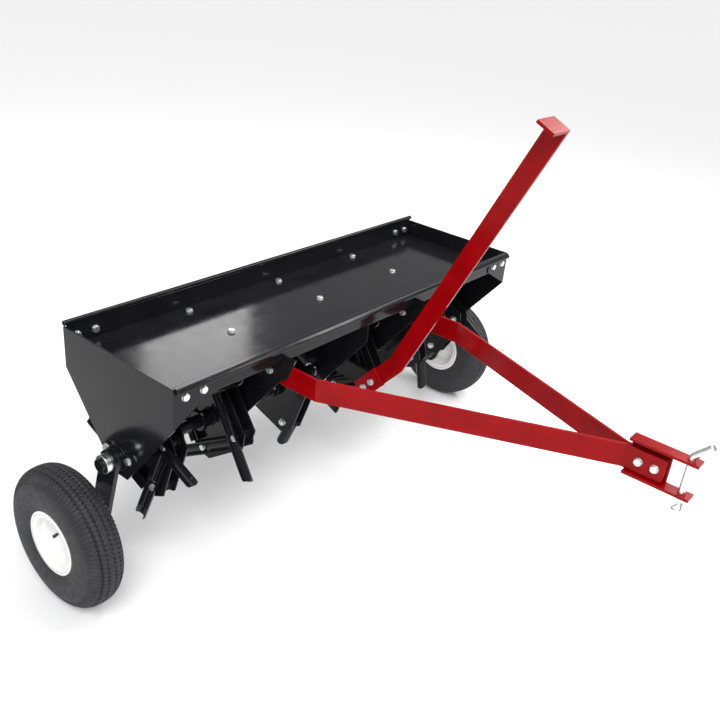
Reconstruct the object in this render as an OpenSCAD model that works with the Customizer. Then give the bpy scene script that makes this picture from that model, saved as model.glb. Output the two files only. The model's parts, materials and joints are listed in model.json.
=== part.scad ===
// Tow-behind core aerator: a weight tray on V-shaped plates carries a tine shaft, which is also
// the transport axle. A hand lever turns the axle and its two crank arms, so the wheels rise
// and fall. Two bars and a channel make the drawbar.
// X runs along the shaft, +Y towards the rear, +Z up. The origin is on the ground,
// in the middle of the overall length and width.

/* [Tray and frame] */
// Width over the two end plates
frame_w = 1016; // [980:1:1060]
// Depth of the tray, front to rear
tray_d = 300; // [290:1:320]
// Height of the tray's rim above the tray floor
tray_rim = 37; // [30:1:45]
// Height of the tray's rim above the shaft
rim_h = 200; // [196:1:206]
// Sheet thickness of the tray and the rear rail
sheet = 2.5; // [2:0.1:3]
// Thickness of the plates that hang below the tray
plate_t = 4; // [3:0.1:5]

/* [Shaft and lever] */
// Diameter of the shaft
shaft_d = 25.4; // [22:0.1:26]
// Radial clearance of every running fit
run_gap = 0.05; // [0.02:0.01:0.1]
// Side position of the hand lever
lever_x = 60; // [58:0.5:60]
// Width of the lever's flat bar
lever_w = 38; // [34:1:42]

/* [Wheels] */
// Outside diameter of a tyre
tyre_d = 274; // [266:1:280]
// Width of a tyre
tyre_w = 80; // [76:1:84]
// Distance of a wheel's middle plane from the machine's middle
wheel_x = 597; // [594:1:604]
// Length of a crank arm, shaft to wheel axle
arm_len = 155.8; // [150:0.1:160]
// Lean of the crank arms behind the vertical
arm_lean = 15.6; // [10:0.1:20]

/* [Tines] */
// Distance of a spoon's middle line from the shaft
spoon_off = 59; // [56:0.5:62]
// Reach of a spoon's tip along its line
spoon_reach = 141; // [136:1:142]
// Length of a spoon
spoon_len = 183; // [176:1:186]
// Outside radius of a spoon's half pipe
spoon_r = 13; // [11:0.5:13.5]

/* [Drawbar] */
// Height of the drawbar's flat bars
bar_h = 44; // [42:0.5:44]
// Thickness of the drawbar's flat bars
bar_t = 6; // [5:0.1:6]
// Side position of the hitch pin
hitch_x = -22; // [-24:0.5:-20]
// Distance of the hitch pin in front of the shaft
hitch_reach = 812; // [805:1:820]
// Diameter of the hitch pin
pin_d = 12.7; // [11:0.1:13]

/* [Hidden] */
$fn = 48;
black = [0.06, 0.06, 0.065];
red = [0.70, 0.05, 0.07];
zinc = [0.78, 0.79, 0.80];
half_w = frame_w / 2;
front_y = -tray_d / 2;
rear_y = tray_d / 2;
floor_z = rim_h - tray_rim;
under_z = floor_z - sheet;
shaft_r = shaft_d / 2;
bore_r = shaft_r + run_gap;
tyre_r = tyre_d / 2;
// wheel axle, seen from the shaft
axle_y = arm_len * sin(arm_lean);
axle_z = -arm_len * cos(arm_lean);
shaft_z = tyre_r - axle_z;
// hitch channel
channel_top = 176;
channel_h = 69;
channel_t = 5;
channel_back = -713;
channel_front = -828;
// hitch pin
pin_r = pin_d / 2;
pin_low = 78;
pin_head = 39;
pin_bend = 42;
pin_front = hitch_reach + pin_head * sin(pin_bend) + pin_r * cos(pin_bend);
// middle of the overall length, from the tyres' back to the hitch pin's head
mid_y = (axle_y + tyre_r - pin_front) / 2;
// places across the machine
hanger_x = [-258, -8, 242];
hanger_flange = 26;
floor_bolt_in = 14;
floor_bolt_x = [for (x = hanger_x) x + floor_bolt_in];
floor_bolt_y = [3, 125];
bracket_x = 145;
corner_bolt_in = [24, 62];
corner_bolt_z = rim_h - 21;
// tine heads: outer face of the first plate, side that the second plate lies on, turn
head_x = [-460, -300, -97, 95, 300, 460];
head_side = [1, 1, -1, 1, -1, -1];
head_turn = [-67, -31, -66, 60, -12, 35];
head_gap = 26;
head_plate = 3;
tine_bolt_at = 50;
tine_hub_r = 17;
hub_out = 20;
hub_in = 36;
collar_x = [-490.5, -423.5, -330.5, -143.5, -76.5, 131.5, 253.5, 320.5, 413.5, 480.5];
collar_w = 10;
// wheel parts
seat_r = 50.8;
hub_r = 17;
bush_r = 11;
axle_r = 7.94;
arm_x = 523;
arm_t = 10;
arm_w = 44;
// places along a wheel's axle, from the middle of the wheel towards its outer face
hub_low = -36;
hub_high = -6;
axle_end = wheel_x + 8;
// drawbar, seen from the shaft
tongue_z = 135.5;
tongue_rear = -60;
tongue_bolt_y = [-117, -80];
hitch_bolt_y = [-734, -762];
clip_z = 94;
clip_r = 1.5;
// lever, seen from the shaft
lever_bolt = [-118, -4];
lever_kink = [-174, 59];
lever_top = [-441, 614];
lever_t = 6;

// moves a part drawn about the shaft to its place above the ground
module place() {
    translate([0, -mid_y, shaft_z]) children();
}

// a flat shape drawn in (y, z), given a thickness w from x
module slab(x, w) {
    translate([x, 0, 0]) rotate([90, 0, 90]) linear_extrude(w) children();
}

// a round bar along X
module rod(x, w, r, y = 0, z = 0) {
    translate([x, y, z]) rotate([0, 90, 0]) cylinder(h = w, r = r);
}

// bolt along +X from its head's inner face at the origin: head, shank through grip, nut
module bolt(grip, r = 4, head = 5.3, nut = 6.5, tail = 2.5) {
    rotate([0, 90, 0]) {
        cylinder(h = grip + nut + tail, r = r);
        translate([0, 0, -head]) cylinder(h = head, r = r * 1.85, $fn = 6);
        translate([0, 0, grip]) cylinder(h = nut, r = r * 1.85, $fn = 6);
    }
}

// flat bar from a to b
module bar2d(a, b, w) {
    d = b - a;
    translate(a) rotate(atan2(d[1], d[0])) translate([0, -w / 2]) square([norm(d), w]);
}

function unit(v) = v / norm(v);
function across(v) = [-v[1], v[0]];
// from a point of a path to its left edge, mitred where the path bends
function edge_step(path, k) =
    let (a = unit(path[max(k, 1)] - path[max(k, 1) - 1]),
        last = len(path) - 1,
        b = unit(path[min(k, last - 1) + 1] - path[min(k, last - 1)]))
    across(a + b) / (1 + a * b);

// bar of width w along a path, with mitred bends
module bent_bar(path, w) {
    last = len(path) - 1;
    polygon(concat(
        [for (k = [0:last]) path[k] + edge_step(path, k) * w / 2],
        [for (k = [last:-1:0]) path[k] - edge_step(path, k) * w / 2]));
}

// ---- tray and frame ----

module tray_section() {
    wall = 8;
    lip = 9;
    polygon([[rear_y - 5, under_z], [front_y + sheet + 3, under_z],
        [front_y + sheet + 3, rim_h - 31], [front_y + sheet, rim_h - 31],
        [front_y + sheet, rim_h - 10], [front_y - lip, rim_h - 10],
        [front_y - lip, rim_h - 5], [front_y - lip + 5, rim_h],
        [front_y + wall, rim_h], [front_y + wall, floor_z], [rear_y - 5, floor_z]]);
}

module weight_tray() {
    color(black) difference() {
        slab(-half_w + plate_t + 0.5, frame_w - 2 * plate_t - 1) tray_section();
        for (x = floor_bolt_x, y = floor_bolt_y)
            translate([x, y, under_z - 1]) cylinder(h = sheet + 2, r = 4.1);
        for (side = [-1, 1], d = corner_bolt_in)
            translate([side * (half_w - d), front_y, corner_bolt_z])
                rotate([-90, 0, 0]) cylinder(h = 20, r = 4.1);
    }
}

// upright wall with a foot under the tray floor and a rolled top edge
module rear_rail() {
    foot = 40;
    color(black) difference() {
        union() {
            slab(-half_w + plate_t + 0.5, frame_w - 2 * plate_t - 1)
                polygon([[rear_y - foot, under_z - sheet], [rear_y - sheet, under_z - sheet],
                    [rear_y - sheet, rim_h + 8], [rear_y - 2 * sheet, rim_h + 8],
                    [rear_y - 2 * sheet, under_z], [rear_y - foot, under_z]]);
            rod(-half_w, frame_w, 5, rear_y - sheet, rim_h + 7);
        }
        for (x = floor_bolt_x)
            translate([x, floor_bolt_y[1], 0]) cylinder(h = rim_h, r = 4.1);
        for (side = [-1, 1], d = corner_bolt_in)
            translate([side * (half_w - d), rear_y - 20, corner_bolt_z])
                rotate([-90, 0, 0]) cylinder(h = 30, r = 4.1);
    }
}

module v_outline() {
    polygon([[front_y, rim_h], [rear_y, rim_h], [rear_y, 120], [20, -40], [-20, -40], [front_y, 123]]);
}

// gusset folded in from a plate's front or rear edge, drawn in (x, z) from the plate's outer face
module gusset2d(low) {
    polygon([[0, low], [0, rim_h - 12], [80, rim_h - 12], [80, rim_h - 32]]);
}

module end_plate(side) {
    bolt_y = 31.5;
    color(black) mirror([side > 0 ? 1 : 0, 0, 0]) difference() {
        union() {
            slab(-half_w, plate_t) v_outline();
            for (edge = [[front_y + sheet, 123], [rear_y, 120]])
                translate([-half_w, edge[0], 0])
                    rotate([90, 0, 0]) linear_extrude(sheet) gusset2d(edge[1]);
        }
        rod(-half_w - 1, plate_t + 2, 17);
        for (y = [-bolt_y, bolt_y])
            rod(-half_w - 1, plate_t + 2, 4.1, y, 7);
        for (y = [front_y, rear_y], d = corner_bolt_in)
            translate([-half_w + d, y - 5, corner_bolt_z])
                rotate([-90, 0, 0]) cylinder(h = 10, r = 4.1);
    }
}

// plate from the tray floor down to the shaft, with top flanges and, for the drawbar, a nose
module hanger(x, nose = false, bolted = true) {
    top = under_z - sheet;
    color(black) difference() {
        union() {
            slab(x, plate_t) {
                polygon([[front_y + 8, top], [rear_y - 8, top], [rear_y - 8, 125],
                    [20, -32], [-20, -32], [front_y + 8, 120]]);
                if (nose)
                    polygon([[front_y - 28, rim_h - 23], [front_y + 2, rim_h - 23],
                        [front_y + 2, rim_h - 32], [front_y + 5, rim_h - 32],
                        [front_y + 5, top], [front_y + 9, top],
                        [front_y + 9, 119], [front_y - 10, rim_h - 67]]);
            }
            for (k = [0, 1])
                translate([x, floor_bolt_y[k] - 15, top - k * sheet]) cube([hanger_flange, 30, sheet]);
        }
        rod(x - 1, plate_t + 2, 16);
        if (bolted)
            for (y = floor_bolt_y)
                translate([x + floor_bolt_in, y, 0]) cylinder(h = rim_h, r = 4.1);
        if (nose)
            for (y = tongue_bolt_y)
                rod(x - 1, plate_t + 2, 4.1, y, tongue_z);
    }
}

// two-bolt flange outside an end plate, with a sleeve through the plate's hole
module shaft_bearing(side) {
    color(black) mirror([side > 0 ? 0 : 1, 0, 0]) difference() {
        union() {
            rod(half_w - plate_t - 4, plate_t + 12, 17);
            slab(half_w, 4) {
                circle(r = 25);
                for (y = [-31.5, 31.5])
                    bearing_ear(y);
            }
        }
        rod(half_w - 20, 40, bore_r);
        for (y = [-31.5, 31.5])
            rod(half_w - 1, 6, 4.1, y, 7);
    }
}

// ear of a bearing flange: a round end joined to the middle by a flat
module bearing_ear(y) {
    translate([y, 7]) circle(r = 10);
    bar2d([0, 3], [y, 7], 20);
}

module hanger_bushes() {
    color(zinc) for (x = concat(hanger_x, [bracket_x]))
        difference() {
            rod(x - 2.5, plate_t + 5, 16);
            rod(x - 4, plate_t + 8, bore_r);
        }
}

// ---- drawbar ----

// flat bar on edge: along the hanger, across to the channel, then along its web
module tongue(x, fold_y, end_x) {
    path = [[x, tongue_rear], [x, fold_y], [end_x, channel_back + 6], [end_x, -778]];
    color(red) difference() {
        translate([0, 0, tongue_z - bar_h / 2]) linear_extrude(bar_h) bent_bar(path, bar_t);
        for (y = tongue_bolt_y)
            rod(x - 10, 20, 4.1, y, tongue_z);
        for (y = hitch_bolt_y)
            rod(end_x - 10, 20, 4.1, y, tongue_z);
    }
}

module left_tongue() {
    tongue(hanger_x[0] + plate_t + bar_t / 2, front_y - 76, hitch_x - 1);
}

module right_tongue() {
    tongue(bracket_x + plate_t + bar_t / 2, front_y - 105, hitch_x - 1 + bar_t);
}

// C section open to the left; the web stops short so that a tow plate fits round the pin
module hitch_channel() {
    near = hitch_x - 12;
    web = hitch_x + 8;
    low = channel_top - channel_h;
    color(red) difference() {
        translate([near, channel_front, low])
            cube([web + channel_t - near, channel_back - channel_front, channel_h]);
        translate([near - 1, channel_front - 1, low + channel_t])
            cube([web - near + 1, channel_back - channel_front + 2, channel_h - 2 * channel_t]);
        translate([near - 1, channel_front - 1, low + channel_t])
            cube([40, 47, channel_h - 2 * channel_t]);
        translate([hitch_x, -hitch_reach, low - 1]) cylinder(h = channel_h + 2, r = pin_r + 0.1);
        for (y = hitch_bolt_y)
            rod(web - 1, channel_t + 2, 4.1, y, tongue_z);
    }
}

module hitch_bolts() {
    color(zinc) for (y = hitch_bolt_y)
        translate([hitch_x - 4, y, tongue_z]) bolt(2 * bar_t + channel_t);
}

module tongue_bolts() {
    color(zinc) for (y = tongue_bolt_y) {
        translate([hanger_x[0], y, tongue_z]) bolt(plate_t + bar_t);
        translate([bracket_x, y, tongue_z]) bolt(plate_t + bar_t);
    }
}

module hitch_pin() {
    bend_z = channel_top + 7;
    color(zinc) translate([hitch_x, -hitch_reach, 0]) difference() {
        union() {
            translate([0, 0, pin_low + 2]) cylinder(h = bend_z - pin_low - 2, r = pin_r);
            translate([0, 0, pin_low]) cylinder(h = 2, r1 = pin_r - 2, r2 = pin_r);
            translate([0, 0, bend_z]) {
                sphere(r = pin_r + 0.2);
                rotate([pin_bend, 0, 0]) cylinder(h = pin_head, r = pin_r);
            }
        }
        rod(-10, 20, clip_r + 0.2, 0, clip_z);
    }
}

// spring clip: one leg through the pin, one in front of it, joined by a round loop
module hairpin_clip() {
    gap = pin_r + clip_r + 1;
    loop_x = -16;
    color(zinc) translate([hitch_x, -hitch_reach, clip_z]) {
        rod(loop_x, 30, clip_r);
        rod(loop_x, 34, clip_r, -gap);
        translate([loop_x, -gap / 2, 0]) rotate([0, 0, 90])
            rotate_extrude(angle = 180) translate([gap / 2, 0]) circle(r = clip_r);
    }
}

// ---- fasteners of the frame ----

module floor_bolts() {
    color(zinc) for (x = floor_bolt_x, k = [0, 1])
        translate([x, floor_bolt_y[k], floor_z]) rotate([0, 90, 0]) bolt((k + 2) * sheet);
}

module corner_bolts() {
    color(zinc) for (side = [-1, 1], d = corner_bolt_in) {
        translate([side * (half_w - d), front_y, corner_bolt_z])
            rotate([0, 0, 90]) bolt(8);
        translate([side * (half_w - d), rear_y - 2 * sheet, corner_bolt_z])
            rotate([0, 0, 90]) bolt(2 * sheet);
    }
}

module bearing_bolts() {
    color(zinc) for (side = [0, 1], y = [-31.5, 31.5])
        mirror([side, 0, 0]) translate([half_w + 4, y, 7]) mirror([1, 0, 0]) bolt(4 + plate_t);
}

// ---- axle, arms and lever ----

module lift_axle() {
    axle_half = half_w + 44;
    color(black) rod(-axle_half, 2 * axle_half, shaft_r);
}

module shaft_collars() {
    color(black) for (x = collar_x)
        difference() {
            rod(x, collar_w, 20);
            rod(x - 1, collar_w + 2, shaft_r);
        }
}

module wheel_arm(side) {
    foot = [axle_y, axle_z];
    color(black) mirror([side > 0 ? 0 : 1, 0, 0]) difference() {
        union() {
            slab(arm_x, arm_t) {
                bar2d([0, 0], foot, arm_w);
                circle(d = arm_w + 1);
                translate(foot) circle(d = arm_w + 1);
            }
            rod(half_w + 9, arm_x - half_w - 9, 20);
        }
        rod(half_w, 60, shaft_r);
        rod(arm_x - 1, arm_t + 2, axle_r, foot[0], foot[1]);
    }
}

module arm_collars() {
    color(zinc) for (side = [0, 1])
        mirror([side, 0, 0]) difference() {
            rod(arm_x + arm_t, 12, 18);
            rod(arm_x, 60, shaft_r);
        }
}

// shoulder bolt that carries a wheel: head inside the arm, thread outside the rim
module wheel_axle(side) {
    color(zinc) mirror([side > 0 ? 0 : 1, 0, 0]) {
        rod(arm_x, axle_end - arm_x, axle_r, axle_y, axle_z);
        translate([arm_x - 7, axle_y, axle_z]) rotate([0, 90, 0]) cylinder(h = 7, r = 13.5, $fn = 6);
    }
}

module axle_nuts() {
    color(zinc) for (side = [0, 1])
        mirror([side, 0, 0]) translate([axle_end - 11, axle_y, axle_z]) difference() {
            rotate([0, 90, 0]) cylinder(h = 8, r = 13, $fn = 6);
            rod(-1, 12, axle_r);
        }
}

lever_dir = (lever_kink - lever_bolt) / norm(lever_kink - lever_bolt);
lever_bolts_at = [lever_bolt, lever_bolt - 28 * lever_dir];
lever_low = lever_bolt - 46 * lever_dir;

module lever_holes() {
    for (p = lever_bolts_at)
        rod(lever_x - 30, 60, 4.1, p[0], p[1]);
}

// boss on the shaft with a plate that reaches forward to the lever
module lift_hub_arm() {
    color(black) difference() {
        union() {
            rod(lever_x - 10, 24, 20);
            slab(lever_x + lever_t, 7) {
                circle(d = 46);
                bar2d([0, 0], (lever_bolts_at[0] + lever_bolts_at[1]) / 2, 44);
                for (p = lever_bolts_at)
                    translate(p) circle(r = 19);
            }
        }
        rod(lever_x - 40, 80, shaft_r);
        lever_holes();
    }
}

// plate that doubles the lever's foot
module lift_lever() {
    color(red) difference() {
        slab(lever_x - lever_t, lever_t) bar2d(lever_low, lever_bolt + 27 * lever_dir, 42);
        lever_holes();
    }
}

// flat bar with a bend, and a grip folded over at its top
module lift_handle() {
    upper = lever_top - lever_kink;
    lean = atan2(-upper[0], upper[1]);
    grip = 55;
    color(red) difference() {
        union() {
            slab(lever_x, lever_t) bent_bar([lever_low, lever_kink, lever_top], lever_w);
            translate([0, lever_kink[0], lever_kink[1]]) rotate([lean, 0, 0])
                translate([lever_x + lever_t - grip, -lever_w / 2, norm(upper) - lever_t])
                    cube([grip, lever_w, lever_t]);
        }
        lever_holes();
    }
}

module lever_bolts() {
    color(zinc) for (p = lever_bolts_at)
        translate([lever_x - lever_t, p[0], p[1]]) bolt(2 * lever_t + 7, nut = 4, tail = 0.6);
}

// ---- wheels, drawn about their own axle with the outer face towards +X ----

module at_wheel(side) {
    translate([side * wheel_x, axle_y, axle_z]) mirror([side > 0 ? 0 : 1, 0, 0])
        rotate([0, 90, 0]) children();
}

// hollow carcass that is open between its beads, which grip the rim
module tyre(side) {
    crown = tyre_w / 2;
    round_r = 43;
    wall = 7;
    bead_gap = 24;
    color(black) at_wheel(side) rotate_extrude() difference() {
        intersection() {
            translate([tyre_r - round_r, 0]) circle(r = round_r);
            translate([seat_r, -crown]) square([tyre_r - seat_r, tyre_w]);
        }
        translate([tyre_r - round_r, 0]) circle(r = round_r - wall);
        translate([seat_r - 1, -bead_gap]) square([30, 2 * bead_gap]);
    }
}

// pressed steel rim: two flanges, a well, a dished disc and a hub tube
module rim(side) {
    color("gainsboro") at_wheel(side) rotate_extrude() difference() {
        union() {
            polygon([[seat_r - 3, -34], [62, -34], [62, -31.5], [seat_r, -31.5], [seat_r, -22],
                [44, -18], [44, 18], [seat_r, 22], [seat_r, 31.5], [62, 31.5], [62, 34],
                [seat_r - 3, 34], [seat_r - 3, 21], [41, 17], [41, -17], [seat_r - 3, -21]]);
            polygon([[bush_r, -18], [hub_r, -18], [42, -12], [42, -9], [hub_r, -14], [bush_r, -14]]);
            translate([bush_r, hub_low]) square([hub_r - bush_r, hub_high - hub_low]);
        }
        translate([0, -60]) square([bush_r, 120]);
    }
}

module hub_bush(side) {
    color("dimgray") at_wheel(side) difference() {
        translate([0, 0, hub_low - 2]) cylinder(h = hub_high - hub_low + 3, r = bush_r);
        translate([0, 0, -40]) cylinder(h = 80, r = axle_r + run_gap);
    }
}

// ---- tine heads, drawn with the first plate's outer face at x = 0 ----

module at_head(i) {
    translate([head_x[i], 0, 0]) rotate([head_turn[i], 0, 0])
        mirror([head_side[i] > 0 ? 0 : 1, 0, 0]) children();
}

// square plate with its corners cut off at the bolts
module head_outline() {
    corner = atan2(-spoon_off, tine_bolt_at);
    polygon([for (k = [0:3], d = [-9.5, 9.5])
        99 * [cos(corner + 90 * k + d), sin(corner + 90 * k + d)]]);
}

module four_bolts() {
    for (k = [0:3])
        rotate([90 * k, 0, 0]) translate([0, tine_bolt_at, -spoon_off]) children();
}

module tine_plates(i) {
    claw_r = 116;
    corner = atan2(-spoon_off, tine_bolt_at);
    color(black) at_head(i) difference() {
        union() {
            rod(-hub_out, hub_out + hub_in, tine_hub_r);
            slab(0, head_plate) head_outline();
            slab(head_gap, head_plate) difference() {
                head_outline();
                for (k = [0:3])
                    rotate(corner + 90 * k) translate([claw_r, 0]) circle(r = 20);
            }
            four_bolts() rod(head_plate, head_gap - head_plate, 8);
        }
        rod(-hub_out - 1, hub_out + hub_in + 2, bore_r);
        four_bolts() rod(-1, head_gap + head_plate + 2, 4.1);
    }
}

// half pipe with a rounded tip and a flat seat for its bolt
module spoon() {
    wall = 3;
    flat = 0.8;
    seat = 3.6;
    back = spoon_r - flat;
    difference() {
        union() {
            intersection() {
                translate([0, spoon_reach, -spoon_off]) rotate([90, 0, 0]) linear_extrude(spoon_len)
                    difference() {
                        translate([-back, 0]) circle(r = spoon_r);
                        translate([-back, 0]) circle(r = spoon_r - wall);
                        translate([-back - 40, -20]) square([40, 40]);
                        translate([0, -20]) square([20, 40]);
                    }
                slab(-20, 20) {
                    translate([spoon_reach - spoon_len, -spoon_off - 20])
                        square([spoon_len - spoon_r, 40]);
                    translate([spoon_reach - spoon_r, -spoon_off]) circle(r = spoon_r);
                }
            }
            rod(-seat, seat, 8, tine_bolt_at, -spoon_off);
        }
        rod(-20, 30, 4.1, tine_bolt_at, -spoon_off);
        rod(-20, 20 - seat, 7.9, tine_bolt_at, -spoon_off);
    }
}

module tine_spoons(i) {
    color(black) at_head(i)
        for (k = [0:3])
            rotate([90 * k, 0, 0]) spoon();
}

module tine_bolts(i) {
    seat = 3.6;
    color(zinc) at_head(i) four_bolts()
        translate([-seat, 0, 0]) bolt(seat + head_gap + head_plate);
}

place() weight_tray();
place() rear_rail();
place() end_plate(-1);  // left_end_plate
place() end_plate(1);  // right_end_plate
place() hanger(hanger_x[0], nose = true);  // left_hanger
place() hanger(hanger_x[1]);  // centre_hanger
place() hanger(hanger_x[2]);  // right_hanger
place() hanger(bracket_x, nose = true, bolted = false);  // drawbar_bracket
place() shaft_bearing(-1);  // left_shaft_bearing
place() shaft_bearing(1);  // right_shaft_bearing
place() hanger_bushes();
place() left_tongue();
place() right_tongue();
place() hitch_channel();
place() hitch_bolts();
place() tongue_bolts();
place() floor_bolts();
place() corner_bolts();
place() bearing_bolts();
place() lift_axle();
place() shaft_collars();
place() wheel_arm(-1);  // left_wheel_arm
place() wheel_arm(1);  // right_wheel_arm
place() arm_collars();
place() wheel_axle(-1);  // left_wheel_axle
place() wheel_axle(1);  // right_wheel_axle
place() axle_nuts();
place() lift_hub_arm();
place() lift_lever();
place() lift_handle();
place() lever_bolts();
place() tyre(-1);  // left_tyre
place() rim(-1);  // left_rim
place() hub_bush(-1);  // left_hub_bush
place() tyre(1);  // right_tyre
place() rim(1);  // right_rim
place() hub_bush(1);  // right_hub_bush
place() tine_plates(0);  // tine_plates_1
place() tine_plates(1);  // tine_plates_2
place() tine_plates(2);  // tine_plates_3
place() tine_plates(3);  // tine_plates_4
place() tine_plates(4);  // tine_plates_5
place() tine_plates(5);  // tine_plates_6
place() tine_spoons(0);  // tine_spoons_1
place() tine_spoons(1);  // tine_spoons_2
place() tine_spoons(2);  // tine_spoons_3
place() tine_spoons(3);  // tine_spoons_4
place() tine_spoons(4);  // tine_spoons_5
place() tine_spoons(5);  // tine_spoons_6
place() tine_bolts(0);  // tine_bolts_1
place() tine_bolts(1);  // tine_bolts_2
place() tine_bolts(2);  // tine_bolts_3
place() tine_bolts(3);  // tine_bolts_4
place() tine_bolts(4);  // tine_bolts_5
place() tine_bolts(5);  // tine_bolts_6
place() hitch_pin();
place() hairpin_clip();
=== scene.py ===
import json
import math
import bmesh
import bpy
import numpy as np
from mathutils import Matrix, Vector


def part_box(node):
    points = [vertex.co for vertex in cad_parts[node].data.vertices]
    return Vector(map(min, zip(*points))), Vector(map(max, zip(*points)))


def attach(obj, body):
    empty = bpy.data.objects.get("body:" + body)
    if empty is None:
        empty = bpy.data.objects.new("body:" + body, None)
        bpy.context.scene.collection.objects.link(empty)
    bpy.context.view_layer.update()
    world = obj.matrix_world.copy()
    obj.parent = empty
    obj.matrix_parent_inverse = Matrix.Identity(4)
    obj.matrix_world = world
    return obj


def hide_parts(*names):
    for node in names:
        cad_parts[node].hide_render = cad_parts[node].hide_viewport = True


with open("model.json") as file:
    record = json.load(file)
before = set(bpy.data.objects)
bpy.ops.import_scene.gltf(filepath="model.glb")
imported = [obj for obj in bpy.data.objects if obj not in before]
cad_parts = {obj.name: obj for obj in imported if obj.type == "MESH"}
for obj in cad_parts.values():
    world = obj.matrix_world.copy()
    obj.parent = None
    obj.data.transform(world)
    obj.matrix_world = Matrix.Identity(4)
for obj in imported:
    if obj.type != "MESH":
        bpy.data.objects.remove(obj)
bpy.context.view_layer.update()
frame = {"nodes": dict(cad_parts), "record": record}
nodeOf = frame["nodes"]
mm = 0.001


def boxOf(name):
    low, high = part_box(name)
    return np.array(low), np.array(high)


def middleOf(name):
    low, high = boxOf(name)
    return (low + high) / 2


# The transport shaft's axis, which is the axis of the tines too, and the wheels' axle.
shaftY, shaftZ = middleOf("lift_axle")[1:]
axleY, axleZ = middleOf("left_tyre")[1:]

# Solved from the tray's corners and the wheels' outlines; angles in degrees, lens in millimetres.
camera = dict(place=(-1.25641, -0.75138, 1.16854), azimuth=-52.64, elevation=27.16, roll=5.68,
              lens=42.8, sensor=36, farthest=50)


# The camera's back axis comes from its azimuth and elevation; right and up are turned by the roll.
def makeCamera(view):
    az, el, roll = (math.radians(view[k]) for k in ("azimuth", "elevation", "roll"))
    back = Vector((math.sin(az) * math.cos(el), -math.cos(az) * math.cos(el), math.sin(el)))
    right = (-back).cross(Vector((0, 0, 1))).normalized()
    up = right.cross(-back)
    across = math.cos(roll) * right + math.sin(roll) * up
    upright = math.cos(roll) * up - math.sin(roll) * right
    data = bpy.data.cameras.new("viewCamera")
    data.lens = view["lens"]
    data.sensor_width = view["sensor"]
    data.clip_end = view["farthest"]
    eye = bpy.data.objects.new("viewCamera", data)
    turn = Matrix((across, upright, back)).transposed().to_4x4()
    eye.matrix_world = Matrix.Translation(view["place"]) @ turn
    bpy.context.collection.objects.link(eye)
    bpy.context.scene.camera = eye


makeCamera(camera)
print("camera done")

# Each channel of a hex colour goes from sRGB to linear light.
def linearColour(code):
    parts = [int(code[k:k + 2], 16) / 255 for k in (0, 2, 4)]
    return tuple(c / 12.92 if c <= 0.04045 else ((c + 0.055) / 1.055) ** 2.4 for c in parts) + (1.0,)


def addNode(tree, kind, settings, values, links):
    node = tree.nodes.new(kind)
    for key, value in settings.items():
        setattr(node, key, value)
    for key, value in values.items():
        node.inputs[key].default_value = value
    for key, source in links.items():
        tree.links.new(source, node.inputs[key])
    return node


# Smooth noise over the object's own coordinates; size is one cell in millimetres along each axis.
def addCloud(tree, size, detail=2.0):
    place = addNode(tree, "ShaderNodeTexCoord", {}, {}, {})
    scale = tuple(1 / (s * mm) for s in size)
    spread = addNode(tree, "ShaderNodeMapping", {}, {"Scale": scale}, {"Vector": place.outputs["Object"]})
    return addNode(tree, "ShaderNodeTexNoise", {}, {"Scale": 1.0, "Detail": detail},
                   {"Vector": spread.outputs["Vector"]}).outputs["Fac"]


# Noise crowds round its middle, so the middle part of it is spread over the whole range.
def addRange(tree, source, low, high):
    values = {"From Min": 0.3, "From Max": 0.7, "To Min": low, "To Max": high}
    return addNode(tree, "ShaderNodeMapRange", {}, values, {"Value": source}).outputs["Result"]


def addMix(tree, share, first, second):
    node = addNode(tree, "ShaderNodeMix", {"data_type": "RGBA"}, {}, {})
    shareAt, firstAt, secondAt, resultAt = 0, 6, 7, 2
    node.inputs[firstAt].default_value = first
    node.inputs[secondAt].default_value = second
    tree.links.new(share, node.inputs[shareAt])
    return node.outputs[resultAt]


# A finish has two colours mixed in clouds, a roughness that wanders with them, and a fine bump.
def makeFinish(name, look):
    finish = bpy.data.materials.new(name)
    finish.use_nodes = True
    tree = finish.node_tree
    shader = tree.nodes["Principled BSDF"]
    for key, value in look["shader"].items():
        shader.inputs[key].default_value = value
    clouds = addCloud(tree, look["cloud"], 4.0)
    share = addRange(tree, clouds, 0.0, 1.0)
    colour = addMix(tree, share, linearColour(look["colours"][0]), linearColour(look["colours"][1]))
    tree.links.new(colour, shader.inputs["Base Color"])
    streaks = addCloud(tree, look["streak"], 3.0)
    rough = addRange(tree, streaks, look["rough"][0], look["rough"][1])
    tree.links.new(rough, shader.inputs["Roughness"])
    grain = addCloud(tree, look["grain"], look.get("grainDetail", 1.0))
    bump = addNode(tree, "ShaderNodeBump", {}, {"Strength": look["bump"], "Distance": look["depth"] * mm},
                   {"Height": grain})
    tree.links.new(bump.outputs["Normal"], shader.inputs["Normal"])
    return finish


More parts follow.
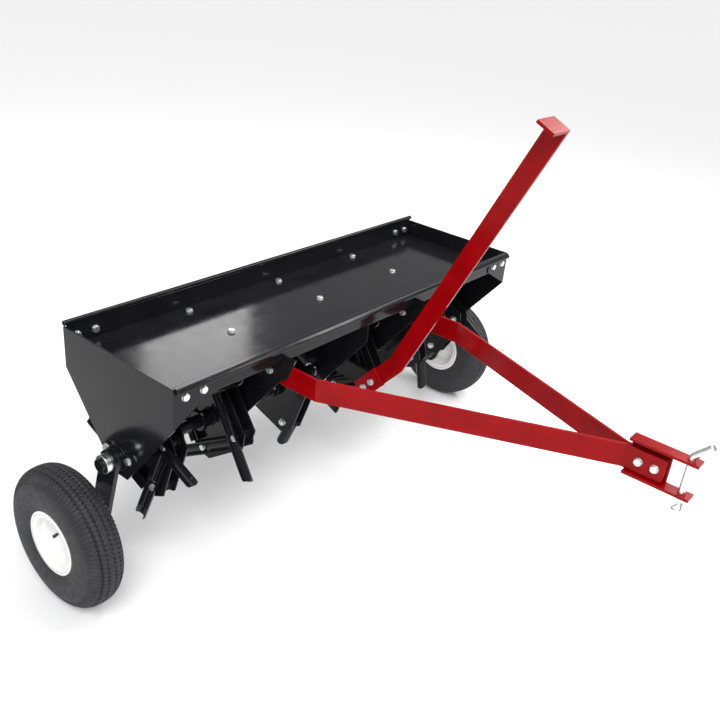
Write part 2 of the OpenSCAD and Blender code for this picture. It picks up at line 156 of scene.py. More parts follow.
# Sizes in millimetres. Grain is drawn coarser than the real surface where that would be too fine to show.
looks = {
    # Polyester powder baked on steel: gloss, with a faint orange peel of about 2 mm.
    "black_powder_coat": dict(
        colours=("121214", "1A1A1D"), cloud=(60, 60, 60), streak=(35, 35, 35), rough=(0.10, 0.17),
        grain=(2.2, 2.2, 2.2), bump=0.3, depth=0.015, shader={"Specular IOR Level": 0.21}),
    # The same coat in red, a little softer in its reflections.
    "red_powder_coat": dict(
        colours=("840206", "96050B"), cloud=(50, 50, 50), streak=(40, 40, 40), rough=(0.16, 0.26),
        grain=(2.2, 2.2, 2.2), bump=0.3, depth=0.015, shader={"Specular IOR Level": 0.14}),
    # Moulded rubber: matt, with dull patches from the mould and a fine tooth, drawn coarser than it is.
    "tyre_rubber": dict(
        colours=("1B1B1D", "26262A"), cloud=(30, 30, 30), streak=(12, 12, 12), rough=(0.55, 0.72),
        grain=(0.5, 0.5, 0.5), bump=0.5, depth=0.05, grainDetail=3.0, shader={}),
    # Stoved enamel on pressed steel: smooth and bright, under a thin clear gloss.
    "white_rim_enamel": dict(
        colours=("E4E4E2", "ECECEA"), cloud=(40, 40, 40), streak=(25, 25, 25), rough=(0.14, 0.24),
        grain=(1.8, 1.8, 1.8), bump=0.3, depth=0.02, shader={"Coat Weight": 0.3, "Coat Roughness": 0.06}),
    # Moulded nylon: a satin dark grey.
    "bush_nylon": dict(
        colours=("1C1C1E", "2A2A2C"), cloud=(12, 12, 12), streak=(8, 8, 8), rough=(0.40, 0.52),
        grain=(0.4, 0.4, 0.4), bump=0.3, depth=0.02, shader={}),
    # Turned bar: fine rings round the X axis, drawn coarser than they are.
    "bright_steel": dict(
        colours=("D0D2D4", "E4E5E6"), cloud=(50, 14, 14), streak=(40, 1.2, 1.2), rough=(0.16, 0.30),
        grain=(20, 0.35, 0.35), bump=0.25, depth=0.01, shader={"Metallic": 1.0}),
    # Bright zinc plate: a clear metal with small cloudy patches.
    "bright_zinc": dict(
        colours=("DADCDF", "EDEEEF"), cloud=(9, 9, 9), streak=(5, 5, 5), rough=(0.20, 0.36),
        grain=(0.6, 0.6, 0.6), bump=0.25, depth=0.015, shader={"Metallic": 1.0}),
    # Plated bolts and nuts: the same plate, duller from barrel plating.
    "zinc_fastener": dict(
        colours=("D6D9DC", "ECECEA"), cloud=(6, 6, 6), streak=(3, 3, 3), rough=(0.32, 0.46),
        grain=(0.5, 0.5, 0.5), bump=0.3, depth=0.015, shader={"Metallic": 1.0}),
}
finishes = {name: makeFinish(name, look) for name, look in looks.items()}
print("materials done")

# The finish of each CAD node is the record's own slot.
slotOf = {}
for part in frame["record"]["subparts"]:
    slotOf[part["node"]] = part["material_slot"]
for name, thing in nodeOf.items():
    for holder in thing.material_slots:
        holder.material = finishes[slotOf[name]]

bodyOf = {}
for body, names in frame["record"]["behaviour"]["bodies"].items():
    for name in names:
        bodyOf[name] = body


def linkPiece(name, mesh, body, slot, nodes=()):
    piece = bpy.data.objects.new(name, mesh)
    bpy.context.collection.objects.link(piece)
    mesh.materials.clear()
    mesh.materials.append(finishes[slot])
    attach(piece, body)
    if nodes:
        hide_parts(*nodes)
    return piece


# Rounds the edges sharper than angle by width millimetres and keeps the flat faces flat in shading.
def roundEdges(piece, width, angle=32):
    bevel = piece.modifiers.new("edgeRadius", "BEVEL")
    bevel.width = width * mm
    bevel.segments = 2
    bevel.limit_method = "ANGLE"
    bevel.angle_limit = math.radians(angle)
    bevel.harden_normals = False
    bevel.use_clamp_overlap = True
    weighted = piece.modifiers.new("flatFaces", "WEIGHTED_NORMAL")
    weighted.keep_sharp = True


def smoothShade(mesh, angle):
    mesh.shade_smooth()
    mesh.set_sharp_from_angle(angle=math.radians(angle))


# Points in millimetres from the shaft, put into the shared frame in metres.
def fromShaft(points):
    return points * mm + np.array([0, shaftY, shaftZ])


def turnOutward(mesh):
    work = bmesh.new()
    work.from_mesh(mesh)
    bmesh.ops.recalc_face_normals(work, faces=work.faces)
    work.to_mesh(mesh)
    work.free()


# A node's own shape with its triangles merged into flat faces and its edges rounded by width.
def softenNode(node, width):
    work = bmesh.new()
    work.from_mesh(nodeOf[node].data)
    bmesh.ops.remove_doubles(work, verts=work.verts, dist=0.00001)
    bmesh.ops.dissolve_limit(work, angle_limit=math.radians(1.0), verts=work.verts, edges=work.edges)
    mesh = bpy.data.meshes.new(node + "_soft")
    work.to_mesh(mesh)
    work.free()
    piece = linkPiece(node + "_soft", mesh, bodyOf[node], slotOf[node], (node,))
    smoothShade(mesh, 50)
    roundEdges(piece, width)


# Rows of points joined into quads; a row or the whole set may close on itself.
def gridFaces(rows, columns, closeRows, closeColumns):
    i = np.arange(rows if closeRows else rows - 1)
    j = np.arange(columns if closeColumns else columns - 1)
    a, b = np.meshgrid(i, j, indexing="ij")
    a, b = a.ravel(), b.ravel()
    c, d = (a + 1) % rows, (b + 1) % columns
    return np.stack([a * columns + b, c * columns + b, c * columns + d, a * columns + d], axis=1)


def meshOf(name, points, faces):
    mesh = bpy.data.meshes.new(name)
    mesh.from_pydata(np.asarray(points).reshape(-1, 3).tolist(), [], [list(f) for f in faces])
    mesh.validate()
    mesh.update()
    return mesh


# A closed profile of (radius, along) in millimetres, turned about the X axis through centre.
def turned(name, profile, centre, steps, body, slot, nodes, side):
    profile = np.array(profile, float)
    turn = np.linspace(0, 2 * np.pi, steps, endpoint=False)
    r = profile[None, :, 0] * mm
    along = profile[None, :, 1] * mm * side
    points = np.stack([np.broadcast_to(centre[0] + along, (steps, len(profile))),
                       centre[1] + r * np.cos(turn)[:, None],
                       centre[2] + r * np.sin(turn)[:, None]], axis=-1)
    faces = gridFaces(steps, len(profile), True, True)
    if side > 0:
        faces = faces[:, ::-1]
    mesh = meshOf(name, points, faces)
    smoothShade(mesh, 50)
    linkPiece(name, mesh, body, slot, nodes)


# A closed outline with rounded corners: corner k becomes an arc of radius radii[k], tangent to both
# sides, whose ends lie radius / tan(half the corner's angle) from the corner.
def roundedOutline(corners, radii, steps=6):
    corners = np.array(corners, float)
    result = []
    count = len(corners)
    nearlyStraight = 1.55
    for k in range(count):
        here, before, after = corners[k], corners[k - 1], corners[(k + 1) % count]
        a = (before - here) / np.linalg.norm(before - here)
        b = (after - here) / np.linalg.norm(after - here)
        half = math.acos(max(-1, min(1, float(a @ b)))) / 2
        radius = radii[k]
        if radius <= 0 or half > nearlyStraight:
            result.append(here)
            continue
        reach = radius / math.tan(half)
        centre = here + (a + b) / np.linalg.norm(a + b) * radius / math.sin(half)
        start, end = here + a * reach - centre, here + b * reach - centre
        sweep = math.atan2(start[0] * end[1] - start[1] * end[0], float(start @ end))
        for t in np.linspace(0, sweep, steps):
            result.append(centre + np.array([start[0] * math.cos(t) - start[1] * math.sin(t),
                                             start[0] * math.sin(t) + start[1] * math.cos(t)]))
    return np.array(result)


# An outline in (u, v) is drawn out along a third axis from low to high, with flat ends.
def prism(name, outline, low, high, axes, body, slot, nodes=(), edge=0.0, angle=32):
    count = len(outline)
    u, v, w = axes
    points = np.zeros((2, count, 3))
    points[:, :, u] = outline[None, :, 0]
    points[:, :, v] = outline[None, :, 1]
    points[0, :, w] = low
    points[1, :, w] = high
    ends = [list(range(count))[::-1], list(range(count, 2 * count))]
    faces = [list(f) for f in gridFaces(2, count, False, True)] + ends
    mesh = meshOf(name, fromShaft(points), faces)
    turnOutward(mesh)
    piece = linkPiece(name, mesh, body, slot, nodes)
    smoothShade(mesh, 50)
    if edge:
        roundEdges(piece, edge, angle)


# A path of points is smoothed by passing a Catmull-Rom curve through them.
def smoothPath(points, steps):
    points = np.array(points, float)
    ends = np.vstack([2 * points[0] - points[1], points, 2 * points[-1] - points[-2]])
    result = []
    for k in range(1, len(ends) - 2):
        t = np.linspace(0, 1, steps, endpoint=False)[:, None]
        a, b, c, d = ends[k - 1], ends[k], ends[k + 1], ends[k + 2]
        result.append(0.5 * (2 * b + (c - a) * t + (2 * a - 5 * b + 4 * c - d) * t ** 2
                             + (3 * b - a - 3 * c + d) * t ** 3))
    return np.vstack(result + [points[-1:]])


# A round bar along a path: rings of points stand square to the path, each carried on from the one
# before without twist; the ends are chamfered.
def bentRod(name, path, radius, node, sides, chamfer):
    path = np.array(path, float) * mm
    radius, chamfer = radius * mm, chamfer * mm
    tangent = np.gradient(path, axis=0)
    tangent /= np.linalg.norm(tangent, axis=1)[:, None]
    path = np.vstack([path[:1], path[:1] + tangent[:1] * chamfer, path[1:-1],
                      path[-1:] - tangent[-1:] * chamfer, path[-1:]])
    tangent = np.vstack([tangent[:1], tangent, tangent[-1:]])
    radii = np.concatenate([[radius - chamfer], np.full(len(path) - 2, radius), [radius - chamfer]])
    first = np.cross(tangent[0], (0.3, 0.5, 0.81))
    side = first / np.linalg.norm(first)
    rings = []
    turn = np.linspace(0, 2 * np.pi, sides, endpoint=False)
    for point, along, r in zip(path, tangent, radii):
        side = side - along * (side @ along)
        side /= np.linalg.norm(side)
        other = np.cross(along, side)
        rings.append(point + r * (np.cos(turn)[:, None] * side + np.sin(turn)[:, None] * other))
    rings = np.array(rings)
    count = len(rings)
    faces = [list(f)[::-1] for f in gridFaces(count, sides, False, True)]
    faces += [list(range(sides))[::-1], list(range((count - 1) * sides, count * sides))]
    mesh = meshOf(name, rings + np.array([0, shaftY, shaftZ]), faces)
    smoothShade(mesh, 35)
    linkPiece(name, mesh, bodyOf[node], slotOf[node], (node,))

def roundRing(r, z, steps=48):
    turn = np.linspace(0, 2 * np.pi, steps, endpoint=False)
    return np.stack([np.full(steps, float(z)), r * np.cos(turn), r * np.sin(turn)], axis=-1)


# Rings of a chamfered hexagon: the radius is across / cos(angle from the nearest flat), and outside
# the crown's circle the top falls away by tan 30 degrees.
def hexRings(across, height, steps=48):
    turn = np.linspace(0, 2 * np.pi, steps, endpoint=False)
    flat = across / np.cos((turn + np.pi / 6) % (np.pi / 3) - np.pi / 6)
    crown = across * 0.94
    edge = height - np.maximum(flat - crown, 0) * math.tan(math.radians(30))

    def ring(r, z):
        return np.stack([z * np.ones(steps), r * np.cos(turn), r * np.sin(turn)], axis=-1)

    return [ring(flat * 0.985, 0), ring(flat, 0.15), ring(flat, edge - 0.12), ring(flat * 0.985, edge),
            ring(np.full(steps, crown), height)]


# A stack of rings with a cap at each end.
def ringStack(rings):
    points = np.array(rings)
    count, steps = points.shape[:2]
    faces = [list(f)[::-1] for f in gridFaces(count, steps, False, True)]
    faces += [list(range(steps)), list(range((count - 1) * steps, count * steps))[::-1]]
    return points.reshape(-1, 3), faces


# Many ring stacks in one mesh, each with its rings, a 3x3 turn and a place in millimetres from the shaft.
def stackMesh(name, stacks):
    points, faces, offset = [], [], 0
    for rings, turn, place in stacks:
        p, f = ringStack(rings)
        points.append(p @ np.asarray(turn).T + np.asarray(place))
        faces += [[k + offset for k in face] for face in f]
        offset += len(p)
    return meshOf(name, fromShaft(np.vstack(points)), faces)


# Bolt along +X from its head's inner face: washer and head behind the origin, then nut, washer and
# thread past the grip. A washer is 0.97 of its width at its two faces.
def boltParts(grip, r, head, nut, tail):
    wide = r * 1.85
    across = wide * math.cos(math.pi / 6)
    washer = min(1.2, head * 0.25)
    end = grip + nut + tail

    def disc(z):
        return [roundRing(wide * 0.97, z), roundRing(wide, z + 0.2), roundRing(wide, z + washer - 0.2),
                roundRing(wide * 0.97, z + washer)]

    headRings = [ring * np.array([-1, 1, 1]) - np.array([washer, 0, 0])
                 for ring in hexRings(across * 0.98, head - washer)]
    nutRings = [ring + np.array([grip + washer, 0, 0]) for ring in hexRings(across * 0.98, nut - washer)]
    thread = [roundRing(r, grip), roundRing(r, end - 1.2), roundRing(r - 0.9, end - 0.2),
              roundRing(r - 1.2, end)]
    return [disc(-washer), [roundRing(r, 0)] + headRings, disc(grip), nutRings, thread]


# Places many bolts in one mesh: each has a 3x3 turn and a place in millimetres from the shaft.
def boltSet(node, places, sizes):
    stacks = [(part, turn, place) for (turn, place), size in zip(places, sizes) for part in boltParts(**size)]
    mesh = stackMesh(node + "_bolts", stacks)
    turnOutward(mesh)
    smoothShade(mesh, 22)
    linkPiece(node + "_bolts", mesh, bodyOf[node], slotOf[node], (node,))


def aboutX(degrees):
    c, s = math.cos(math.radians(degrees)), math.sin(math.radians(degrees))
    return np.array([[1, 0, 0], [0, c, -s], [0, s, c]])


def aboutY(degrees):
    c, s = math.cos(math.radians(degrees)), math.sin(math.radians(degrees))
    return np.array([[c, 0, s], [0, 1, 0], [-s, 0, c]])


def aboutZ(degrees):
    c, s = math.cos(math.radians(degrees)), math.sin(math.radians(degrees))
    return np.array([[c, -s, 0], [s, c, 0], [0, 0, 1]])


keepTurn = np.eye(3)
flipX = np.diag([-1.0, 1, 1])
standard = dict(r=4, head=5.3, nut=6.5, tail=2.5)
leverBolt = dict(r=4, head=5.3, nut=4, tail=0.6, grip=19)

# Settings in millimetres; y and z are seen from the shaft.
tray = dict(halfWidth=508, halfSheet=503.5, floorZ=163, rimZ=200, hangers=(-258, -8, 242), floorBoltIn=14,
            floorBoltY=(3, 125), cornerIn=(24, 62), cornerY=(-150, 145), cornerDown=21)
bearing = dict(face=512, boltY=(-31.5, 31.5), boltZ=7)
drawbar = dict(bracketX=145, hitchX=-22, middleZ=135.5, halfHeight=22, thick=6, foldRadius=7,
               boltY=(-117, -80), hitchBoltY=(-734, -762), webIn=4,
               rear=-60, channelFold=-707, front=-778,
               left=dict(x=-251, fold=-226, end=-23), right=dict(x=152, fold=-255, end=-17))
lever = dict(x=60, thick=6, bolt=(-118, -4), kink=(-174, 59), boltGap=28)
heads = dict(x=(-460, -300, -97, 95, 300, 460), side=(1, 1, -1, 1, -1, -1), turn=(-67, -31, -66, 60, -12, 35),
             before=3.6, past=29, boltAt=(50, -59))

boltSet("floor_bolts",
        [(aboutY(90), (x + tray["floorBoltIn"], y, tray["floorZ"])) for x in tray["hangers"]
         for y in tray["floorBoltY"]],
        [dict(standard, grip=grip) for x in tray["hangers"] for grip in (5.0, 7.5)])
corners = [(aboutZ(90), (s * (tray["halfWidth"] - d), y, tray["rimZ"] - tray["cornerDown"]))
           for s in (-1, 1) for d in tray["cornerIn"] for y in tray["cornerY"]]
boltSet("corner_bolts", corners, [dict(standard, grip=8 if place[1] < 0 else 5) for turn, place in corners])
boltSet("bearing_bolts",
        [(flipX if s > 0 else keepTurn, (s * bearing["face"], y, bearing["boltZ"])) for s in (-1, 1)
         for y in bearing["boltY"]],
        [dict(standard, grip=8)] * 4)
boltSet("hitch_bolts",
        [(keepTurn, (drawbar["hitchX"] - drawbar["webIn"], y, drawbar["middleZ"]))
         for y in drawbar["hitchBoltY"]],
        [dict(standard, grip=17)] * 2)
boltSet("tongue_bolts",
        [(keepTurn, (x, y, drawbar["middleZ"])) for y in drawbar["boltY"]
         for x in (tray["hangers"][0], drawbar["bracketX"])],
        [dict(standard, grip=10)] * 4)
firstBolt = np.array(lever["bolt"])
leverWay = np.array(lever["kink"]) - firstBolt
leverWay = leverWay / np.linalg.norm(leverWay)
boltSet("lever_bolts",
        [(keepTurn, (lever["x"] - lever["thick"], p[0], p[1]))
         for p in (firstBolt, firstBolt - lever["boltGap"] * leverWay)],
        [leverBolt] * 2)
for k in range(6):
    places = []
    for quarter in range(4):
        about = aboutX(heads["turn"][k]) @ (keepTurn if heads["side"][k] > 0 else flipX) @ aboutX(90 * quarter)
        place = about @ np.array([-heads["before"], *heads["boltAt"]]) + np.array([heads["x"][k], 0, 0])
        places.append((about, place))
    boltSet("tine_bolts_%d" % (k + 1), places, [dict(standard, grip=heads["before"] + heads["past"])] * 4)
print("bolts done")

# Edge radius in millimetres of each node that keeps its own shape.
softened = {
    "left_end_plate": 0.5, "right_end_plate": 0.5, "left_hanger": 0.5, "centre_hanger": 0.5,
    "right_hanger": 0.5, "drawbar_bracket": 0.5, "left_shaft_bearing": 0.8, "right_shaft_bearing": 0.8,
    "hanger_bushes": 0.4, "hitch_channel": 0.9, "lift_axle": 0.8, "shaft_collars": 0.6,
    "left_wheel_arm": 0.8, "right_wheel_arm": 0.8, "arm_collars": 0.7, "left_wheel_axle": 0.6,
    "right_wheel_axle": 0.6, "lift_hub_arm": 0.7, "lift_lever": 0.7, "lift_handle": 0.8,
    "left_hub_bush": 0.5, "right_hub_bush": 0.5}
for name, width in softened.items():
    softenNode(name, width)
for k in range(1, 7):
    for part in ("plates", "spoons"):
        softenNode("tine_%s_%d" % (part, k), 0.45)
print("plates done")

# The tray is one sheet section drawn along X: outer skirt, rolled lip, inner wall and floor, each bend
# with its radius.
trayCorners = [(145, 160.5), (-144.5, 160.5), (-144.5, 169), (-147.5, 169), (-147.5, 190),
               (-159, 190), (-159, 195), (-154, 200), (-142, 200), (-142, 163), (145, 163)]
trayRadii = [0.4, 2, 0.3, 0.5, 2.5, 1.2, 2.5, 3.5, 3, 3.5, 0.4]
prism("weight_tray_sheet", roundedOutline(trayCorners, trayRadii), -tray["halfSheet"], tray["halfSheet"],
      (1, 2, 0), "frame", "black_powder_coat", ("weight_tray",), edge=0.3, angle=60)
railCorners = [(110, 158), (147.5, 158), (147.5, 208), (145, 208), (145, 160.5), (110, 160.5)]
railRadii = [0.4, 3.5, 0, 0, 1, 0.4]
prism("rear_rail_sheet", roundedOutline(railCorners, railRadii), -tray["halfSheet"], tray["halfSheet"],
      (1, 2, 0), "frame", "black_powder_coat", ("rear_rail",), edge=0.3, angle=60)
# The rolled top edge is a round roll, open underneath by a narrow gap.
roll = dict(y=147.5, z=207, outer=5, inner=2.7, start=-125, end=205, steps=40)


def rollArc(radius, start, end):
    return [(roll["y"] + radius * math.cos(a), roll["z"] + radius * math.sin(a))
            for a in np.linspace(math.radians(start), math.radians(end), roll["steps"])]


outside = rollArc(roll["outer"], roll["start"], roll["end"])
inside = rollArc(roll["inner"], roll["end"], roll["start"])
prism("rear_rail_roll", np.array(outside + inside), -tray["halfWidth"], tray["halfWidth"], (1, 2, 0),
      "frame", "black_powder_coat")
print("tray done")

# A ring of weld about the shaft: a round bead that swells as half a sine over every overlapping run and
# wanders slowly round the ring.
def weldRing(name, x, radius, bead, body):
    steps, sides = 160, 10
    turn = np.linspace(0, 2 * np.pi, steps, endpoint=False)
    runLength = 4.5
    phase = (turn * radius / runLength) % 1
    size = bead * (0.86 + 0.14 * np.sin(phase * np.pi) + 0.05 * np.sin(turn * 5 + radius))
    side = np.linspace(0, 2 * np.pi, sides, endpoint=False)
    r = radius + size[:, None] * np.cos(side)
    along = x + size[:, None] * np.sin(side)
    points = np.stack([along, r * np.cos(turn)[:, None], r * np.sin(turn)[:, None]], axis=-1)
    mesh = meshOf(name, fromShaft(points), gridFaces(steps, sides, True, True)[:, ::-1])
    smoothShade(mesh, 80)
    linkPiece(name, mesh, body, "black_powder_coat")


for k in range(6):
    for edge, x in (("a", -1.2), ("b", 4.2), ("c", 30.2)):
        weldRing("tine_weld_%d%s" % (k + 1, edge), heads["x"][k] + heads["side"][k] * x, 17.6, 2.0,
                 "tine_head_%d" % (k + 1))
for side, which in ((-1, "left"), (1, "right")):
    weldRing(which + "_arm_weld", side * 522, 20.6, 2.2, "lift")
# A socket screw stands a little proud of each collar, turned about the shaft so that they don't line up.
collars = dict(x=(-490.5, -423.5, -330.5, -143.5, -76.5, 131.5, 253.5, 320.5, 413.5, 480.5), half=5,
               firstTurn=-50, turnStep=37, screw=((3, 19.2), (3, 20.4), (2.6, 20.8), (1.5, 20.8), (1.5, 19.4)))
screw = [roundRing(r, z, 24) for r, z in collars["screw"]]
grubs = [(screw, aboutX(collars["firstTurn"] + collars["turnStep"] * k) @ aboutY(-90),
          (x + collars["half"], 0, 0)) for k, x in enumerate(collars["x"])]
mesh = stackMesh("collar_grub_screws", grubs)
smoothShade(mesh, 30)
linkPiece("collar_grub_screws", mesh, "lift", "zinc_fastener")
weldRing("hub_arm_weld_a", 65, 20.6, 2.0, "lift")
left, centre, right = tray["hangers"]
for name, x in (("left", left), ("centre", centre), ("right", right), ("bracket", drawbar["bracketX"])):
    weldRing(name + "_bush_weld", x - 0.6, 16.6, 1.5, "frame")
print("welds done")

# A bar's outline runs along one side of its mitred path and back along the other, with the folds rounded.
def foldedBar(path, width, inner):
    path = np.array(path, float)
    steps = np.diff(path, axis=0)
    steps /= np.linalg.norm(steps, axis=1)[:, None]
    left, right, radiiLeft, radiiRight = [], [], [], []
    for k, point in enumerate(path):
        a, b = steps[max(k - 1, 0)], steps[min(k, len(steps) - 1)]
        normal = np.array([-(a + b)[1], (a + b)[0]]) / (1 + a @ b) * width / 2
        left.append(point + normal)
        right.append(point - normal)
        bend = a[0] * b[1] - a[1] * b[0]
        straight = abs(bend) < 1e-6
        inside = 0 if straight else inner
        outside = 0 if straight else inner + width
        radiiLeft.append(inside if bend > 0 else outside)
        radiiRight.append(outside if bend > 0 else inside)
    return roundedOutline(left + right[::-1], radiiLeft + radiiRight[::-1], 8)


for which in ("left", "right"):
    bar = drawbar[which]
    path = [(bar["x"], drawbar["rear"]), (bar["x"], bar["fold"]), (bar["end"], drawbar["channelFold"]),
            (bar["end"], drawbar["front"])]
    prism(which + "_tongue_bar", foldedBar(path, drawbar["thick"], drawbar["foldRadius"]),
          drawbar["middleZ"] - drawbar["halfHeight"], drawbar["middleZ"] + drawbar["halfHeight"], (0, 1, 2),
          "frame", "red_powder_coat", (which + "_tongue",), edge=0.8)

# The pin goes straight up and then leans forward on an arc.
pin = dict(y=-812, low=78, bendZ=183.0, bend=42, curve=12.0, head=39, radius=6.35, chamfer=1.2)
bend, curve = math.radians(pin["bend"]), pin["curve"]
start = pin["bendZ"] - curve * math.tan(bend / 2)
pinPath = [(drawbar["hitchX"], pin["y"], z) for z in np.linspace(pin["low"], start, 30)]
pinPath += [(drawbar["hitchX"], pin["y"] - curve * (1 - math.cos(a)), start + curve * math.sin(a))
            for a in np.linspace(0, bend, 9)[1:]]
tip = np.array(pinPath[-1])
reach = pin["head"] - curve * math.tan(bend / 2)
headWay = np.array([0, -math.sin(bend), math.cos(bend)])
pinPath += [tuple(tip + headWay * s) for s in np.linspace(0, reach, 6)[1:]]
bentRod("hitch_pin_rod", pinPath, pin["radius"], "hitch_pin", sides=32, chamfer=pin["chamfer"])
# The clip has a straight leg through the pin, a loop, and a leg that bows round the pin's front.
clip = dict(z=94, radius=1.3, chamfer=0.4,
            path=((14, 0), (0, 0), (-9, 0), (-14, 1.6), (-20, 3.6), (-25.5, 0.8), (-26, -4.4), (-22, -9.4),
                  (-15, -9.6), (-9.5, -6.6), (-5, -6.4), (0, -8.6), (5, -7.8), (9, -6.0), (13, -5.6),
                  (18, -8.4)))
clipPath = smoothPath([(drawbar["hitchX"] + a, pin["y"] + b, clip["z"]) for a, b in clip["path"]], 7)
bentRod("hairpin_clip_wire", clipPath, clip["radius"], "hairpin_clip", sides=14, chamfer=clip["chamfer"])
print("drawbar done")

# Depth cut into the tread at an angle and a place across, in millimetres. Each of four grooves follows a
# line that zig-zags once per rib and slopes up to the tread beside it; nicks cross the ribs half way; on
# a shoulder the depth follows the cosine of the rib's phase.
def treadDepth(turn, across, lean):
    ribs = 96
    phase = (turn * ribs / (2 * np.pi)) % 1
    zigzag = (np.abs(phase * 2 - 1) - 0.5) * 3.6
    depth = np.zeros(np.broadcast(turn, across).shape)
    for place, way in ((-19, 1), (-7, -1), (7, 1), (19, -1)):
        depth = np.maximum(depth, 2.8 * np.clip(2.1 - np.abs(across + zigzag * way - place), 0, 1))
    for place in (-25, -13, 0, 13, 25):
        nick = np.clip(3.6 - np.abs(across - place), 0, 1) * np.clip(1.6 - 6 * np.abs(phase - 0.5), 0, 1)
        depth = np.maximum(depth, 0.9 * nick)
    shoulder = np.clip((lean - 33) / 4, 0, 1) * np.clip((67 - lean) / 5, 0, 1)
    return depth * (lean < 40) + 2.2 * shoulder * np.clip(0.5 + 1.6 * np.cos(phase * 2 * np.pi), 0, 1)


# Millimetres. The section's inner side goes from bead to bead as (radius, across); each raised line on the
# outer side is (height, radius, spread).
tyre = dict(core=92.0, power=2.5, innermost=60, steps=768, lines=((0.9, 69, 1.3), (0.7, 104, 0.9)),
            inside=((57, 35), (51.2, 31), (51.2, 25), (60, 28), (84, 33), (112, 31), (128, 12), (128, -12),
                    (112, -31), (84, -33), (60, -28), (51.2, -25), (51.2, -31), (57, -35)))


# The section is a superellipse, |sin| and |cos| of the lean to the power 2 / power, with raised lines of
# bell shape on its walls; the tread is cut along its normal.
def makeTyre(name, side, body):
    low, high = boxOf(name)
    outer, half = (high[2] - low[2]) / 2 / mm, (high[0] - low[0]) / 2 / mm
    lean = np.concatenate([np.linspace(-140, -70, 14), np.linspace(-68, 68, 72), np.linspace(70, 140, 14)])
    a = np.radians(lean)
    core, power = tyre["core"], tyre["power"]
    r = core + (outer - core) * np.sign(np.cos(a)) * np.abs(np.cos(a)) ** (2 / power)
    u = half * np.sign(np.sin(a)) * np.abs(np.sin(a)) ** (2 / power)
    keep = r >= tyre["innermost"]
    r, u, lean = r[keep], u[keep], np.abs(lean[keep])
    slope = np.stack([np.gradient(r), np.gradient(u)], axis=1)
    slope /= np.linalg.norm(slope, axis=1)[:, None]
    normal = np.stack([slope[:, 1], -slope[:, 0]], axis=1)
    line = sum(height * np.exp(-((r - place) / spread) ** 2) for height, place, spread in tyre["lines"])
    u = np.clip(u * (1 - 0.9 / half) + np.sign(u) * line, -half, half)
    steps = tyre["steps"]
    turn = np.linspace(0, 2 * np.pi, steps, endpoint=False)[:, None]
    depth = treadDepth(turn, u[None, :], lean[None, :])
    radius = r[None, :] - depth * normal[None, :, 0]
    along = u[None, :] - depth * normal[None, :, 1]
    inside = np.array(tyre["inside"])[None, :, :]
    radius = np.concatenate([radius, np.repeat(inside[:, :, 0], steps, axis=0)], axis=1)
    along = np.concatenate([along, np.repeat(inside[:, :, 1], steps, axis=0)], axis=1)
    centreX = (low[0] + high[0]) / 2
    points = np.stack([centreX + along * mm * side, axleY + radius * mm * np.cos(turn),
                       axleZ + radius * mm * np.sin(turn)], axis=-1)
    faces = gridFaces(steps, radius.shape[1], True, True)
    if side > 0:
        faces = faces[:, ::-1]
    mesh = meshOf(name + "_tread", points, faces)
    smoothShade(mesh, 50)
    linkPiece(name + "_tread", mesh, body, slotOf[name], (name,))


# The rim's section, with a rolled bead at each flange and soft bends between well, seat and disc.
rimFlange = [(50.8, 22), (50.8, 31.0), (52.5, 31.6), (60.5, 31.7), (62.5, 32.6), (62.5, 34.2), (61, 35),
             (50, 34.4), (47.8, 32.5)]
rimOuter = [(47.8, 22.5), (42.2, 18.2), (41, 16.5), (41, -7), (38, -10), (30, -12), (20, -13.6), (17, -13),
            (17, -6), (11.1, -6)]
rimInner = [(11.1, -36), (17, -36), (17, -18), (20, -17.4), (30, -15.4), (38, -13), (41, -15), (41, -16.5),
            (42.2, -18.2), (47.8, -22.5)]
rimBack = [(r, -x) for r, x in rimFlange[::-1]]
rimWell = [(50.8, -22), (45.2, -17.4), (44, -16), (44, 16), (45.2, 17.4)]
rimSection = rimFlange + rimOuter + rimInner + rimBack + rimWell
# The valve stem leans outward and towards the hub; its profile is (radius, along).
valve = dict(turn={"left": 118, "right": 60}, rootX=14.0, rootR=36, lean=(0.86, -0.5),
             profile=((4.6, 0), (4.6, 3), (3.6, 4.2), (3.4, 12), (2.7, 12.6), (2.7, 17), (3.0, 17.4),
                      (3.0, 23), (2.6, 23.6)))
for side, which in ((-1, "left"), (1, "right")):
    body = which + "_wheel"
    makeTyre(which + "_tyre", side, body)
    centre = middleOf(which + "_tyre")
    turned(which + "_rim_disc", rimSection, centre, 128, body, "white_rim_enamel", (which + "_rim",), side)
    way = math.radians(valve["turn"][which])
    base = np.array([0, math.cos(way), math.sin(way)])
    root = np.array([side * valve["rootX"], 0, 0]) + base * valve["rootR"]
    out = np.array([side * 1.0, 0, 0]) * valve["lean"][0] + base * valve["lean"][1]
    out = out / np.linalg.norm(out)
    aside = np.cross(out, (0, 0, 1.0))
    aside /= np.linalg.norm(aside)
    third = np.cross(out, aside)
    centreMm = (centre - np.array([0, shaftY, shaftZ])) / mm
    turn = np.linspace(0, 2 * np.pi, 20, endpoint=False)
    rings = [centreMm + root + out * s + r * (np.cos(turn)[:, None] * aside + np.sin(turn)[:, None] * third)
             for r, s in valve["profile"]]
    mesh = stackMesh(which + "_valve_stem", [(rings, keepTurn, (0, 0, 0))])
    smoothShade(mesh, 35)
    linkPiece(which + "_valve_stem", mesh, body, "tyre_rubber")
print("wheels done")

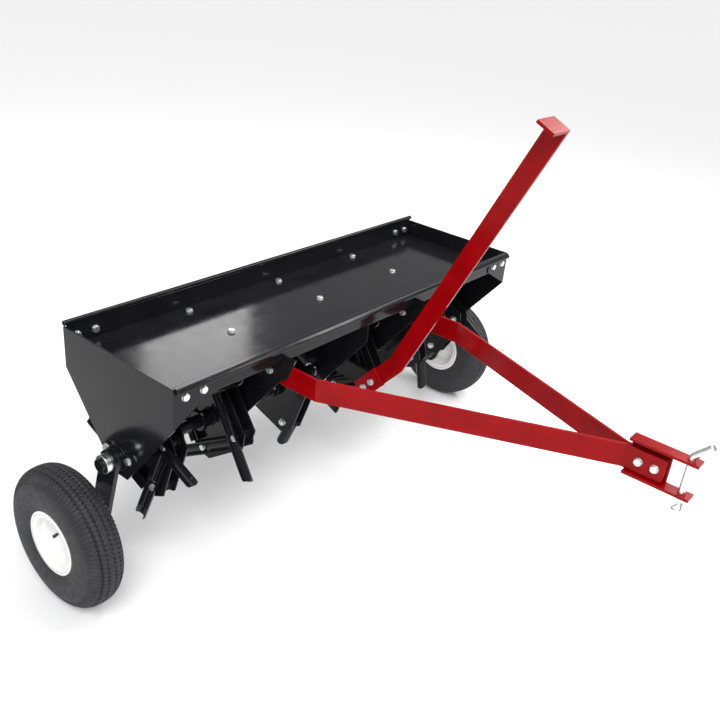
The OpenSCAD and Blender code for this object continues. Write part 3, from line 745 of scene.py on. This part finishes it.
axleNut = dict(across=13 * math.cos(math.pi / 6), height=8, fromEnd=11)
nutX = boxOf("left_wheel_axle")[0][0] / -mm - axleNut["fromEnd"]
nuts = [(hexRings(axleNut["across"], axleNut["height"]), np.diag([side, 1, 1]),
         (side * nutX, (axleY - shaftY) / mm, (axleZ - shaftZ) / mm)) for side in (-1, 1)]
mesh = stackMesh("axle_nuts_hex", nuts)
turnOutward(mesh)
smoothShade(mesh, 22)
linkPiece("axle_nuts_hex", mesh, "lift", "zinc_fastener", ("axle_nuts",))
print("axle nuts done")

stage = dict(reach=45, paper=(0.92, 0.92, 0.92, 1), paperRough=0.6, sky=0.48, sunPower=2.3, sunSpread=35,
             sunTurn=(38, -18, -20))
reach = stage["reach"]
corners = [(-reach, -reach, 0), (reach, -reach, 0), (reach, reach, 0), (-reach, reach, 0)]
floorMesh = meshOf("studioFloor", corners, [(0, 1, 2, 3)])
floor = bpy.data.objects.new("studioFloor", floorMesh)
bpy.context.collection.objects.link(floor)
paper = bpy.data.materials.new("studioPaper")
paper.use_nodes = True
paperShader = paper.node_tree.nodes["Principled BSDF"]
paperShader.inputs["Base Color"].default_value = stage["paper"]
paperShader.inputs["Roughness"].default_value = stage["paperRough"]
floorMesh.materials.append(paper)

world = bpy.data.worlds.new("studioSky")
world.use_nodes = True
sky = world.node_tree.nodes["Background"]
sky.inputs["Color"].default_value = (1, 1, 1, 1)
sky.inputs["Strength"].default_value = stage["sky"]
bpy.context.scene.world = world
bpy.context.scene.view_settings.view_transform = "Standard"


# A soft box at a place, aimed at a target.
def softBox(name, place, target, size, power):
    data = bpy.data.lights.new(name, "AREA")
    data.shape = "RECTANGLE"
    data.size, data.size_y = size
    data.energy = power
    lamp = bpy.data.objects.new(name, data)
    lamp.location = place
    lamp.rotation_euler = (Vector(target) - Vector(place)).to_track_quat("-Z", "Y").to_euler()
    bpy.context.collection.objects.link(lamp)


# The rear panel shows as the pale patch in the tray's floor; the over and right panels light the edges.
softBox("rearPanel", (1.545, 2.536, 2.03), (-0.35, 0.25, 0.45), (0.59, 0.9), 8)
softBox("overPanel", (0.5, -0.2, 2.6), (-0.2, 0.45, 0.5), (1.6, 0.35), 24)
softBox("leftPanel", (-2.6, 0.2, 2.4), (0, 0, 0.3), (1.4, 1.4), 16)
softBox("rightPanel", (1.9, -0.7, 2.2), (0.2, 0.2, 0.4), (2.0, 0.5), 34)
sun = bpy.data.objects.new("studioSun", bpy.data.lights.new("studioSun", "SUN"))
sun.data.energy = stage["sunPower"]
sun.data.angle = math.radians(stage["sunSpread"])
sun.rotation_euler = [math.radians(angle) for angle in stage["sunTurn"]]
bpy.context.collection.objects.link(sun)
print("stage done")
